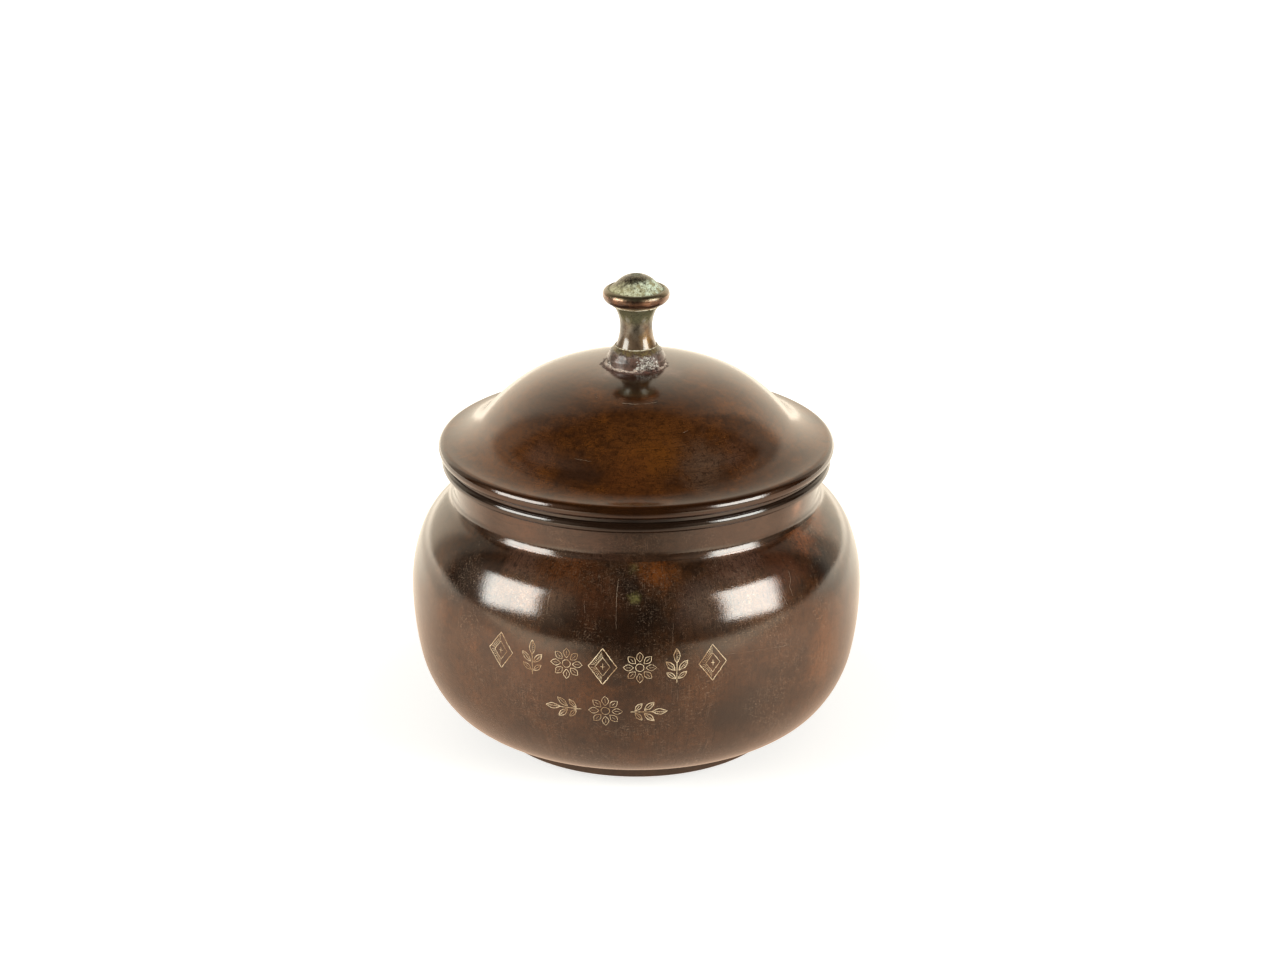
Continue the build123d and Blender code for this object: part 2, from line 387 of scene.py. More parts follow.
class Nodes:
    """Short calls for the nodes of one tree."""

    def __init__(self, tree):
        self.tree = tree

    def node(self, kind, **settings):
        made = self.tree.nodes.new(kind)
        for key, value in settings.items():
            setattr(made, key, value)
        return made

    def link(self, source, socket):
        """Feeds a socket from another socket, or sets it to a value."""
        if isinstance(source, bpy.types.NodeSocket):
            self.tree.links.new(source, socket)
        else:
            socket.default_value = source

    def fed(self, kind, values, **settings):
        """A node with its first sockets fed in order."""
        made = self.node(kind, **settings)
        for socket, value in zip(made.inputs, values):
            self.link(value, socket)
        return made

    def wired(self, kind, **values):
        """A node with sockets fed by their names."""
        made = self.node(kind)
        for name, value in values.items():
            self.link(value, made.inputs[name])
        return made

    def math(self, operation, *values):
        return self.fed("ShaderNodeMath", values, operation=operation).outputs[0]

    def times(self, first, *others):
        """The product of all the values."""
        for other in others:
            first = self.math("MULTIPLY", first, other)
        return first

    def plus(self, first, *others):
        """The sum of all the values."""
        for other in others:
            first = self.math("ADD", first, other)
        return first

    def shaken(self, value, noise, amount):
        """The value moved by a noise from 0 to 1, over an amount from its lowest to its highest."""
        return self.plus(value, self.times(self.math("SUBTRACT", noise, 0.5), amount))

    def vector(self, operation, *values):
        made = self.fed("ShaderNodeVectorMath", values, operation=operation)
        return made.outputs["Value" if operation in ("DISTANCE", "DOT_PRODUCT") else "Vector"]

    def noise(self, scale, detail, roughness=0.7, distortion=0.0, shift=0.0, where=None):
        """Noise from 0 to 1. The scale is in features per metre."""
        vector = where or self.place
        if shift:
            vector = self.vector("ADD", vector, (shift, -shift, 2 * shift))
        return self.wired(
            "ShaderNodeTexNoise", Vector=vector, Scale=scale, Detail=detail, Roughness=roughness,
            Distortion=distortion,
        ).outputs["Fac"]

    def ramp(self, value, low, high, start=0.0, end=1.0, kind="LINEAR"):
        """Moves evenly from start to end as the value goes from low to high."""
        values = value, low, high, start, end
        return self.fed("ShaderNodeMapRange", values, interpolation_type=kind).outputs[0]

    def step(self, *limits):
        """A ramp that starts and ends softly."""
        return self.ramp(*limits, kind="SMOOTHSTEP")

    def parts(self, vector):
        """The three numbers of a vector."""
        made = self.node("ShaderNodeSeparateXYZ")
        self.link(vector, made.inputs[0])
        return made.outputs

    def mix(self, share, first, second):
        """The first colour, turned into the second by a share from 0 to 1."""
        made = self.node("ShaderNodeMix", data_type="RGBA")
        self.link(share, made.inputs["Factor"])
        for socket, value in ((made.inputs[6], first), (made.inputs[7], second)):
            self.link(value if isinstance(value, bpy.types.NodeSocket) else (*value, 1.0), socket)
        return made.outputs[2]

    def over(self, colour, tint, *shares):
        """The colour with a tint laid over it, by the product of the shares."""
        return self.mix(self.times(*shares), colour, tint)


class Recipe(Nodes):
    """One material, on the coordinates of the object, in metres."""

    def __init__(self, name):
        self.material = bpy.data.materials.new(name)
        self.material.use_nodes = True
        super().__init__(self.material.node_tree)
        self.shader = self.tree.nodes["Principled BSDF"]
        self.place = self.node("ShaderNodeTexCoord").outputs["Object"]

    def radius(self):
        """Distance from the axis, in metres."""
        x, y, _ = self.parts(self.place)
        squares = self.plus(self.times(x, x), self.times(y, y))
        return self.math("MAXIMUM", self.math("SQRT", squares), LEAST_RADIUS)

    def around(self, height_scale, girth):
        """Coordinates drawn out round the axis, for marks that follow the turning.

        The scales say how often marks repeat along the outline and round it.
        """
        x, y, z = self.parts(self.place)
        radius = self.radius()
        values = (
            self.times(self.math("DIVIDE", x, radius), girth),
            self.times(self.math("DIVIDE", y, radius), girth),
            self.times(self.math("SUBTRACT", z, radius), height_scale),
        )
        return self.fed("ShaderNodeCombineXYZ", values).outputs[0]

    def spot(self, centre, size):
        """A ragged patch round a point in millimetres, 1 at its middle."""
        away = self.vector("DISTANCE", self.place, tuple(c * MM for c in centre))
        edge = self.noise(SPOT_NOISE / (size * MM), detail=9.0)
        away = self.shaken(self.math("DIVIDE", away, size * MM), edge, SPOT_RAGGED)
        return self.step(away, SPOT_END, 0.0)

    def bump(self, height, depth, strength, after=None):
        """A normal from a height from 0 to 1, with its depth in metres."""
        below = {"Normal": after} if after else {}
        made = self.wired("ShaderNodeBump", Strength=strength, Distance=depth, Height=height, **below)
        return made.outputs[0]

    def set(self, **values):
        """Sets or links the shader's sockets. Underscores in a name stand for spaces."""
        for key, value in values.items():
            socket = self.shader.inputs[key.replace("_", " ")]
            if isinstance(value, tuple) and len(value) == 3 and socket.type == "RGBA":
                value = (*value, 1.0)
            self.link(value, socket)
        return self.material


def metres_above(base, *heights):
    """Heights in metres, from heights in millimetres above a base."""
    return [(base + height) * MM for height in heights]


# How often marks repeat along the outline and round the axis
ROUND_PATCHES = (230.0, 8.0)
ROUND_BRUSH = (1300.0, 8.0)
UPRIGHT_BRUSH = (110.0, 170.0)
SCRATCHES_UP = (240.0, 420.0)
SCRATCHES_ROUND = (3800.0, 40.0)
BAND_EDGE = 0.5 * MM
LACQUER_DEPTH = 0.06 * MM


def patina(name, dark, body, warm, mottle=0.5, spots=(), bands=(), upright=False, specks=0.0, gloss=0.05):
    """Dark patinated metal under a thin clear lacquer, brushed upright or round the axis.

    Spots are patches round points, some of them painted reflection and sheen, and bands are painted shade
    between two heights, in millimetres.
    """
    r = Recipe(name)
    clouds = r.noise(34, detail=10, distortion=0.5)
    patches = None if upright else r.around(*ROUND_PATCHES)
    cells = r.noise(190 if upright else 1.0, detail=9, roughness=0.72, shift=3.0, where=patches)
    fine = r.noise(700, detail=5, shift=1.0)
    grain = r.noise(1900, detail=3, roughness=0.6)
    brush = r.around(*(UPRIGHT_BRUSH if upright else ROUND_BRUSH))
    brushing = r.noise(1.0, detail=5, where=brush)
    blend = r.plus(r.times(clouds, 0.55), r.times(cells, 0.45))
    colour = r.mix(r.step(blend, 0.41, 0.59), dark, body)
    warm_mottle = r.step(r.noise(40, detail=10, roughness=0.78, shift=9.0), 0.48, 0.68)
    colour = r.over(colour, warm, warm_mottle, mottle)
    for centre, size, tint, strength in spots:
        colour = r.over(colour, tint, r.spot(centre, size), strength)
    # A darker tone, for the grain marks and for the painted shade of the bands
    shade = tuple(0.4 * c for c in dark)
    for marks, low, high, share in (
        (brushing, 0.48, 0.70, 0.55), (fine, 0.50, 0.66, 0.60), (grain, 0.52, 0.70, 0.45),
    ):
        colour = r.over(colour, shade, r.step(marks, low, high), share)
    if specks:
        where = r.step(r.noise(50, detail=6, shift=6.0), 0.40, 0.62)
        sparkle = r.step(r.noise(1500, detail=4, roughness=0.75, shift=2.0), 0.57, 0.66)
        hairs = r.noise(1.0, detail=2, roughness=0.55, where=r.around(*SCRATCHES_UP), shift=4.0)
        cross = r.noise(1.0, detail=2, roughness=0.55, where=r.around(*SCRATCHES_ROUND), shift=1.5)
        scratched = r.math("MAXIMUM", r.step(hairs, 0.60, 0.72), r.step(cross, 0.60, 0.72))
        worn = r.math("MAXIMUM", sparkle, r.times(scratched, 0.7))
        colour = r.over(colour, (0.34, 0.24, 0.17), worn, where, specks)
    _, _, z = r.parts(r.place)
    # Painted shade: the bands darken the rolled beads and the gap between them
    for low, high in bands:
        low, high = low * MM, high * MM
        inside = r.times(r.step(z, low - BAND_EDGE, low), r.step(z, high + BAND_EDGE, high))
        colour = r.over(colour, shade, inside, 0.85)
    peel = r.noise(240, detail=2, roughness=0.5, shift=7.0)
    pits = r.noise(2300, detail=2, roughness=0.6, shift=5.0)
    ripple = r.plus(r.times(peel, 0.10), r.times(pits, 0.55), r.times(brushing, 0.35))
    lacquer = r.bump(ripple, LACQUER_DEPTH, 0.6)
    return r.set(
        Base_Color=colour, Metallic=0.4, Roughness=r.step(cells, 0.3, 0.7, 0.12, 0.22),
        Normal=lacquer, Specular_IOR_Level=0.0,
        Coat_Weight=1.0, Coat_Roughness=gloss, Coat_IOR=1.7, Coat_Normal=lacquer,
    )


# Centre, size, colour and strength of each patch
BELLY_SPOTS = [
    ((-23, -66, 83.5), 13, (0.19, 0.058, 0.016), 0.7),
    ((6.5, -68.5, 84.5), 8, (0.27, 0.072, 0.010), 0.8),
    ((-13, -74, 76), 13, (0.10, 0.036, 0.016), 0.6),
    ((19, -73, 75), 12, (0.085, 0.048, 0.036), 0.7),
    ((-2, -71.5, 82), 7, (0.018, 0.011, 0.008), 0.8),
    # Painted reflection: a dark patch that carries the dark room's reflection further down the front
    ((4, -76.5, 71), 11, (0.015, 0.008, 0.005), 0.9),
    ((66, -44, 45), 16, (0.22, 0.080, 0.026), 0.7),
    ((49, -53, 80), 15, (0.13, 0.042, 0.020), 0.6),
    ((58, -24, 84.5), 13, (0.26, 0.075, 0.018), 0.8),
    ((-0.5, -67.5, 85.8), 2.6, (0.16, 0.13, 0.04), 0.7),
    ((65, -39, 75.5), 14, (0.015, 0.010, 0.009), 0.9),
    ((57, -38, 84.5), 8, (0.30, 0.09, 0.03), 0.8),
    # Painted sheen: two lighter patches under the cove's highlight, left and right, stand for the lamps'
    # glow
    ((-38, -57, 84.5), 10, (0.16, 0.078, 0.050), 0.8),
    ((34, -59, 85), 12, (0.16, 0.078, 0.052), 0.8),
    # Worn, lighter patches beside the inner edges of the two highlights, partly painted sheen of the lamps
    ((-26, -69.5, 75), 9, (0.105, 0.062, 0.040), 0.7),
    ((23, -70.5, 75), 8, (0.110, 0.064, 0.042), 0.7),
    ((37, -69, 33), 20, (0.022, 0.015, 0.011), 0.75),
    ((-58, -47, 74), 17, (0.022, 0.014, 0.011), 0.7),
    ((-30, -72, 50), 18, (0.13, 0.055, 0.025), 0.5),
    ((22, -74, 46), 14, (0.14, 0.052, 0.016), 0.5),
    ((-0.5, -73.6, 77.6), 2.4, (0.24, 0.21, 0.07), 0.9),
]
NECK_SPOTS = [
    ((55, -34, 94), 4, (0.30, 0.13, 0.07), 0.8),
    ((-12, -63, 92), 12, (0.11, 0.050, 0.032), 0.5),
]
# Painted shade on the neck's rolled bead, under the lid's edge
NECK_BEAD_SHADE = [(NECK_RIM[1] - NECK_BEAD, NECK_RIM[1] + NECK_BEAD)]
LID_SPOTS = [
    # Painted reflection: the knob's dark mirror image on the dome in front of it
    ((0, -19, 133), 17, (0.022, 0.011, 0.006), 0.95),
    ((-30, -22, 127), 18, (0.060, 0.034, 0.024), 0.6),
    ((21, -50, 114), 13, (0.14, 0.080, 0.050), 0.7),
    ((-34, -41, 116), 11, (0.13, 0.055, 0.030), 0.6),
    ((-19, -51, 114), 11, (0.050, 0.022, 0.012), 0.7),
    ((8, -49, 119), 12, (0.23, 0.072, 0.010), 0.6),
    ((-2, -57, 111.5), 13, (0.17, 0.050, 0.011), 0.5),
    ((36, -40, 116), 10, (0.11, 0.055, 0.036), 0.6),
    ((-9, -10, 134.3), 6, (0.21, 0.12, 0.095), 0.9),
    ((11, -8, 134.3), 6, (0.21, 0.12, 0.095), 0.9),
]
# Painted shade on the lid's rolled edge, over the gap to the neck
LID_EDGE_SHADE = [(LID_EDGE[1] - LID_BEAD, LID_EDGE[1] + 0.75 * LID_BEAD)]
bowl_finish = patina(
    "bowl_patina_with_painted_reflections", (0.033, 0.015, 0.008), (0.080, 0.035, 0.016), (0.18, 0.060, 0.015),
    spots=BELLY_SPOTS, upright=True, specks=0.6,
)
neck_finish = patina(
    "neck_patina_with_painted_shade", (0.042, 0.020, 0.011), (0.072, 0.034, 0.018), (0.15, 0.056, 0.024),
    mottle=0.45, spots=NECK_SPOTS, bands=NECK_BEAD_SHADE, specks=0.35,
)
lid_finish = patina(
    "lid_patina_with_painted_shade_and_reflection", (0.062, 0.021, 0.007), (0.145, 0.047, 0.011), (0.25, 0.077, 0.012),
    mottle=0.6, spots=LID_SPOTS, bands=LID_EDGE_SHADE,
)
foot_finish = patina(
    "foot_patina", (0.027, 0.012, 0.006), (0.062, 0.029, 0.014), (0.10, 0.042, 0.017), mottle=0.3,
)
inside_finish = patina(
    "inside_patina", (0.10, 0.06, 0.03), (0.19, 0.12, 0.06), (0.24, 0.13, 0.05), gloss=0.25,
)
seat_finish = patina(
    "seat_patina", (0.020, 0.011, 0.007), (0.045, 0.024, 0.014), (0.07, 0.03, 0.015), gloss=0.3,
)
brass_finish = patina(
    "worn_brass", (0.28, 0.17, 0.08), (0.50, 0.34, 0.17), (0.55, 0.34, 0.16), gloss=0.2,
)

# Radii in metres over which a pale ring of chalky flux starts and ends
CHALK_STARTS = (0.0098, 0.0102)
CHALK_ENDS = (0.0114, 0.0108)
SOLDER_DEPTH = 0.18 * MM


def solder_metal():
    """Rough grey solder with brown flux in its hollows, and a red-brown film of flux low down."""
    r = Recipe("rough_solder")
    lumps = r.noise(900, detail=6, roughness=0.72)
    sparkle = r.noise(2400, detail=3)
    _, _, z = r.parts(r.place)
    low = r.step(z, *metres_above(LID_TOP, 1.0, 0.3))
    bright = r.mix(low, (0.74, 0.69, 0.62), (0.16, 0.072, 0.052))
    hollow = r.mix(low, (0.12, 0.070, 0.055), (0.070, 0.034, 0.026))
    colour = r.mix(r.step(lumps, 0.42, 0.58), hollow, bright)
    edge = r.shaken(r.radius(), lumps, 3 * MM)
    chalky = r.times(r.step(edge, *CHALK_STARTS), r.step(edge, *CHALK_ENDS), low, r.step(lumps, 0.42, 0.52))
    colour = r.over(colour, (0.85, 0.68, 0.56), chalky, 0.9)
    colour = r.over(colour, (0.05, 0.035, 0.03), r.step(sparkle, 0.52, 0.64), 0.75)
    return r.set(
        Base_Color=colour, Metallic=r.ramp(low, 0.0, 1.0, 0.5, 0.1),
        Roughness=r.step(lumps, 0.3, 0.7, 0.6, 0.35),
        Normal=r.bump(r.plus(lumps, sparkle), SOLDER_DEPTH, 0.8),
    )


def worn_gold_lines(name, bright, dirty):
    """Bright metal at the bottom of cut lines, browner where dirt has stayed."""
    r = Recipe(name)
    dirt = r.noise(160, detail=6)
    speck = r.noise(1500, detail=3, roughness=0.55)
    colour = r.mix(r.step(dirt, 0.42, 0.60), bright, dirty)
    colour = r.over(colour, (0.16, 0.09, 0.05), r.step(speck, 0.5, 0.7), 0.5)
    return r.set(Base_Color=colour, Metallic=0.2, Roughness=0.5)


def chalky_line():
    """Pale residue left in a turned joint."""
    r = Recipe("chalky_residue")
    grain = r.noise(900, detail=5)
    colour = r.mix(r.step(grain, 0.40, 0.62), (0.30, 0.22, 0.12), (0.85, 0.78, 0.60))
    return r.set(Base_Color=colour, Metallic=0.2, Roughness=0.5, Normal=r.bump(grain, CHALK_DEPTH, 0.7))


TURNING_MARKS = (1900.0, 3.0)  # along the stem and round it
CHALK_DEPTH = 0.08 * MM
GRAIN_DEPTH = 0.07 * MM
DENT_DEPTH, COAT_DENT_DEPTH = 0.6 * MM, 0.4 * MM
CRUST_DEPTH = 0.12 * MM


def knob_metal():
    """Olive-brown bronze, greener under the cap, browner at the foot and purple on the flange."""
    r = Recipe("knob_bronze_patina")
    _, _, z = r.parts(r.place)
    cells = r.noise(260, detail=9, roughness=0.75)
    grain = r.noise(1500, detail=4)
    wobbly = r.shaken(z, cells, 6 * MM)
    colour = r.mix(r.step(cells, 0.40, 0.60), (0.075, 0.060, 0.043), (0.175, 0.14, 0.10))
    colour = r.over(colour, (0.23, 0.215, 0.12), r.step(wobbly, *metres_above(LID_TOP, 14, 18)), 0.8)
    colour = r.over(colour, (0.13, 0.075, 0.042), r.step(wobbly, *metres_above(LID_TOP, 14, 9)), 0.7)
    colour = r.over(colour, (0.28, 0.15, 0.05), r.spot((5.0, -4.0, LID_TOP + 10), 4.5), 0.8)
    flange = r.step(wobbly, *metres_above(LID_TOP, 5.6, 4.6))
    purple = r.mix(r.step(cells, 0.42, 0.6), (0.050, 0.028, 0.022), (0.19, 0.11, 0.085))
    colour = r.mix(flange, colour, purple)
    rim_foot = r.step(wobbly, *metres_above(LID_TOP, 4.9, 5.7))
    rim_top = r.step(z, *metres_above(LID_TOP, 6.5, 6.2))
    tarnish = r.mix(r.step(cells, 0.44, 0.56), (0.16, 0.19, 0.10), (0.34, 0.25, 0.10))
    colour = r.over(colour, tarnish, rim_foot, rim_top, r.step(grain, 0.46, 0.56), 0.85)
    colour = r.over(colour, (0.035, 0.028, 0.02), r.step(grain, 0.52, 0.66), 0.6)
    turning = r.noise(1.0, detail=4, where=r.around(*TURNING_MARKS))
    dents = r.times(flange, r.noise(420, detail=6, shift=3.0))
    fine = r.bump(r.plus(r.times(turning, 0.4), r.times(grain, 0.4)), GRAIN_DEPTH, 0.6)
    return r.set(
        Base_Color=colour, Metallic=0.45, Roughness=r.step(cells, 0.3, 0.7, 0.30, 0.48),
        Specular_IOR_Level=0.0, Normal=r.bump(dents, DENT_DEPTH, 0.7, after=fine),
        Coat_Weight=1.0, Coat_Roughness=0.09, Coat_IOR=1.65,
        Coat_Normal=r.bump(dents, COAT_DENT_DEPTH, 0.7, after=fine),
    )


def verdigris():
    """The knob's cap: copper-brown rim, green-white crust on its slope and a dark crown."""
    r = Recipe("verdigris_cap")
    x, y, z = r.parts(r.place)
    radius = r.radius()
    ragged = r.noise(520, detail=8, roughness=0.75)
    speck = r.noise(1500, detail=5)
    cells = r.noise(300, detail=7)
    metal = r.mix(r.step(cells, 0.4, 0.62), (0.10, 0.060, 0.040), (0.28, 0.15, 0.09))
    olive = r.step(r.shaken(z, ragged, 5 * MM), *metres_above(CAP_BASE, 3.3, 4.5))
    metal = r.over(metal, (0.24, 0.20, 0.12), olive, 0.85)
    crown = r.mix(r.step(speck, 0.40, 0.62), (0.040, 0.032, 0.028), (0.26, 0.23, 0.15))
    to_right = r.ramp(r.math("DIVIDE", x, radius), -0.8, 0.8)
    mint = r.mix(to_right, (0.62, 0.58, 0.36), (0.74, 0.84, 0.66))
    clots = r.noise(420, detail=6, shift=4.0)
    crust = r.mix(r.step(clots, 0.40, 0.56), (0.36, 0.33, 0.18), mint)
    wobbly = r.shaken(r.plus(radius, r.times(x, 0.18)), ragged, 8.5 * MM)
    on_crown = r.step(wobbly, 7.2 * MM, 4.4 * MM)
    to_front = r.step(r.math("DIVIDE", y, radius), 0.45, -0.45)
    in_rim = r.step(r.shaken(radius, ragged, 2.2 * MM), 10.6 * MM, 9.4 * MM)
    above = r.step(z, *metres_above(CAP_BASE, 3.9, 4.5))
    by_side = r.ramp(to_front, 0.0, 1.0, 0.35, 1.0)
    crusted = r.times(in_rim, above, by_side, r.step(speck, 0.34, 0.50))
    colour = r.mix(crusted, metal, crust)
    colour = r.over(colour, crown, on_crown, above)
    tip = r.step(radius, 2.6 * MM, 1.0 * MM)
    colour = r.mix(tip, colour, (0.24, 0.23, 0.16))
    crusty = r.math("MAXIMUM", tip, r.times(crusted, r.math("SUBTRACT", 1.0, on_crown)))
    return r.set(
        Base_Color=colour, Metallic=r.ramp(crusty, 0.0, 1.0, 0.9, 0.0),
        Roughness=r.ramp(crusty, 0.0, 1.0, 0.28, 0.8), Specular_IOR_Level=0.3,
        Normal=r.bump(r.shaken(r.times(speck, 0.5), ragged, 1.0), CRUST_DEPTH, 0.8),
        Coat_Weight=r.ramp(crusty, 0.0, 1.0, 0.6, 0.0), Coat_Roughness=0.12, Coat_IOR=1.45,
    )


solder_finish = solder_metal()
engraving_finish = worn_gold_lines("engraved_lines", (0.98, 0.78, 0.52), (0.50, 0.31, 0.16))
scratch_finish = worn_gold_lines("scratched_lacquer", (0.34, 0.25, 0.18), (0.13, 0.08, 0.05))
knob_finish = knob_metal()
chalk_finish = chalky_line()
cap_finish = verdigris()

# ---- pieces ----

def make_bowl():
    outer = belly_outline()
    inner = [Vector((max(p.x, 0), min(p.y, CREASE[1]))) for p in coarse(inset(outer, SHEET))]
    turned_piece(
        "bowl", outer + inner[::-1], [bowl_finish, inside_finish], JAR, "patinated_sheet",
        segments=360, relief=BOWL_SWELL, outer=range(len(outer)),
    )


def make_neck():
    top = Vector((NECK_TOP_RADIUS, NECK_RIM[1]))
    wall = Outline((CREASE[0] - SHEET, CREASE[1])).line(CREASE)
    wall.heading = shoulder_outline().heading
    wall.arc(COVE_TOP).line(top)
    inside = Outline(top, step=0.2).swing(NECK_RIM, -CURL)
    outside = Outline((NECK_RIM[0] - NECK_BEAD, NECK_RIM[1]), step=0.2).swing(NECK_RIM, -CURL)
    turned_piece(
        "neck_collar", wall.points + inside.points[1:] + outside.points[::-1], [neck_finish],
        JAR, "patinated_sheet", segments=384, relief=swell(0.06, 22, 4.1),
    )


def make_foot():
    wall, flange = FOOT_RADIUS - FOOT_WALL, FOOT_RADIUS - FOOT_FLANGE
    section = Outline((wall, 0), step=1.0).line(
        (FOOT_RADIUS, 0), (FOOT_RADIUS, FOOT_HEIGHT), (flange, FOOT_HEIGHT),
        (flange, FOOT_HEIGHT - FOOT_WALL), (wall, FOOT_HEIGHT - FOOT_WALL), (wall, 0),
    )
    turned_piece(
        "foot_ring", section.points[:-1], [foot_finish], JAR, "dark_foot", segments=320, rounding=0.35,
    )


def make_lid():
    outer = lid_outline()
    roll_out = Outline(outer[-1], step=0.22).swing(LID_EDGE, -CURL)
    under = coarse(inset(outer, -SHEET))
    roll_in = Outline(under[-1], step=0.22).swing(LID_EDGE, -CURL)
    inner = under + roll_in.points[1:]
    section = inner + roll_out.points[::-1] + outer[-2::-1]
    turned_piece(
        "lid_shell", section, [lid_finish, inside_finish], LID, "patinated_sheet",
        segments=384, relief=LID_SWELL, outer=range(len(inner), len(section)),
    )


def make_knob():
    base, top = LID_TOP - FLANGE_SINK, LID_TOP + FLANGE_TOP
    bell = Outline((STUD_BORE, base), step=0.4).line(
        (FLANGE_RADIUS, base), (FLANGE_RADIUS, LID_TOP + FLANGE_SIDE), FLANGE_CHEST,
        (FLANGE_TOP_RADIUS, top), (STUD_BORE, top),
    )
    turned_piece("knob_flange", bell.points, [knob_finish], LID, "knob_bronze", rounding=0.2)

    waist = (WAIST_RADIUS, LID_TOP + WAIST_HEIGHT)
    stem_top = LID_TOP + STEM_TOP
    lower = Outline(waist, heading=(0, -1), step=0.4).arc((STEM_FOOT_RADIUS, top))
    upper = Outline(waist, heading=(0, 1), step=0.4).arc((STEM_TOP_RADIUS, stem_top))
    section = [Vector((STUD_BORE, top))] + lower.points[::-1] + upper.points[1:]
    section.append(Vector((STUD_BORE, stem_top)))
    turned_piece("knob_stem", section, [knob_finish], LID, "knob_bronze")

    ring = Outline((STUD_BORE, stem_top)).line(
        (COLLET_RADIUS, stem_top), (COLLET_RADIUS, CAP_BASE), (STUD_BORE, CAP_BASE),
    )
    turned_piece("knob_collet", ring.points, [brass_finish], LID, "bright_brass", rounding=0.18)

    under = Outline((STUD_BORE, CAP_BASE), step=0.35).line((COLLET_RADIUS, CAP_BASE)).arc(CAP_RIM)
    under.heading = Vector((0, 1))
    under.arc(GROOVE_LIP).line(GROOVE)
    tip_centre = (0, CAP_TOP[1] + TIP_HEIGHT - TIP_RADIUS)
    tip = Outline((0, CAP_TOP[1] + TIP_HEIGHT), step=0.1).swing(tip_centre, -TIP_TURN)
    crown = Outline(tip.points[-1], heading=(1, 0), step=0.35).arc(CAP_TURN).arc(GROOVE)
    socket = [Vector((0, SOCKET_TOP)), Vector((STUD_BORE, SOCKET_TOP))]
    section = under.points + crown.points[-2::-1] + tip.points[-2::-1] + socket
    turned_piece("knob_cap", section, [cap_finish], LID, "verdigris_bronze")


JOINT_LINE_RADIUS = 0.3


def make_joint_lines():
    """Thin pale residue where the stem meets the flange, and under the cap."""
    for name, radius, height in (
        ("flange_joint_line", STEM_FOOT_RADIUS + 0.12, LID_TOP + FLANGE_TOP + 0.12),
        ("cap_joint_line", STEM_TOP_RADIUS + 0.1, LID_TOP + STEM_TOP - 0.12),
    ):
        ring = Outline((radius + JOINT_LINE_RADIUS, height), step=0.1).swing((radius, height), math.tau)
        line = turn(name, ring.points[:-1], [chalk_finish], segments=160, relief=swell(0.2, 1.8, 2.0))
        place(line, LID, "bright_brass")


SOLDER_BORE = FLANGE_RADIUS - 1.6
HEAP_SIDE, HEAP_SPREAD = 24, 30  # degrees from the front to the right, and to each side
HEAP_HEIGHT, BEAD_HEIGHT = 6.0, 1.0
BLOB, BLOB_SIZE = (-9.9, -4.6, LID_TOP + 0.9), 1.3
HIDDEN = 0.2  # relief of solder that lies inside the flange
FLUX_RADIUS = 15.5  # how far the film of flux can have run out on the lid
FLUX_START = FLANGE_RADIUS + 0.9
FLUX_REACH, FLUX_SWAY, FLUX_SIDE = 0.50, 0.30, 35
FLUX_RELIEF = (0.04, 0.45)  # where the film shows, and how much deeper it goes past it
FLUX_SECTION = [  # radius, and height over the dome
    (FLUX_RADIUS, -0.3), (FLUX_RADIUS - 1.5, 0.0), (FLANGE_RADIUS + 1.0, 0.03), (FLANGE_RADIUS + 0.25, 0.55),
]


def flux_relief(point, radius, azimuth):
    """Relief of the film of flux, which sinks into the lid past a ragged edge."""
    reach = FLUX_REACH + FLUX_SWAY * math.cos(math.radians(azimuth + FLUX_SIDE))
    out = (radius - FLANGE_RADIUS) / (FLUX_RADIUS - FLANGE_RADIUS)
    ragged = 0.35 * noise.noise(point / 2.6) + 0.30 * noise.noise(point / 1.0)
    past = max(out / reach + ragged - 0.6, 3 * out - 2.2)
    shown, deeper = FLUX_RELIEF
    return shown + deeper * min(1.0, max(0.0, 4 * past))


def solder_relief(point):
    """Relief of the solder: above zero it lies under the section, below zero it stands out."""
    azimuth = math.degrees(math.atan2(point.x, -point.y))
    height = point.z - LID_TOP
    radius = math.hypot(point.x, point.y)
    if radius < FLANGE_TOP_RADIUS:
        return HIDDEN
    if radius > FLUX_START:
        return flux_relief(point, radius, azimuth)
    heap = max(0.0, 1 - abs(azimuth - HEAP_SIDE) / HEAP_SPREAD) * max(0.0, 1 - height / HEAP_HEIGHT)
    bead = max(0.0, 1 - height / BEAD_HEIGHT) * max(0.0, 0.3 + 0.7 * noise.noise(point / 2.2))
    blob = max(0.0, 1 - math.dist(point, BLOB) / BLOB_SIZE)
    wrinkles = abs(noise.noise(point / 1.1)) + 0.6 * abs(noise.noise(point / 0.55))
    rough = noise.noise(point / 0.4) * (heap + bead)
    return 0.5 - (0.5 + 1.5 * wrinkles) * heap ** 0.5 - 0.8 * bead - 1.6 * blob - 0.15 * rough


def make_solder():
    """Lumpy solder round the knob's foot, heaped up the flange at the front right, with its flux."""
    start = (SOLDER_BORE, LID_TOP - FLANGE_SINK - 0.3)
    dome = lid_outline()
    radii, heights = [p.x for p in dome], [p.y for p in dome]
    film = [(radius, float(np.interp(radius, radii, heights)) + lift) for radius, lift in FLUX_SECTION]
    section = Outline(start, step=0.25).line(
        (FLUX_RADIUS, film[0][1] - 0.4), *film,
        (FLANGE_RADIUS + 0.05, LID_TOP + FLANGE_SIDE), FLANGE_CHEST,
        (FLANGE_TOP_RADIUS + 0.05, LID_TOP + FLANGE_TOP - 0.1),
        (FLANGE_TOP_RADIUS - 0.6, LID_TOP + FLANGE_TOP - 0.3),
        (SOLDER_BORE, LID_TOP + FLANGE_SIDE), start,
    )
    turned_piece(
        "knob_solder", section.points[:-1], [solder_finish], LID, "solder", segments=256,
        relief=solder_relief,
    )


# ---- engraving and scratches ----

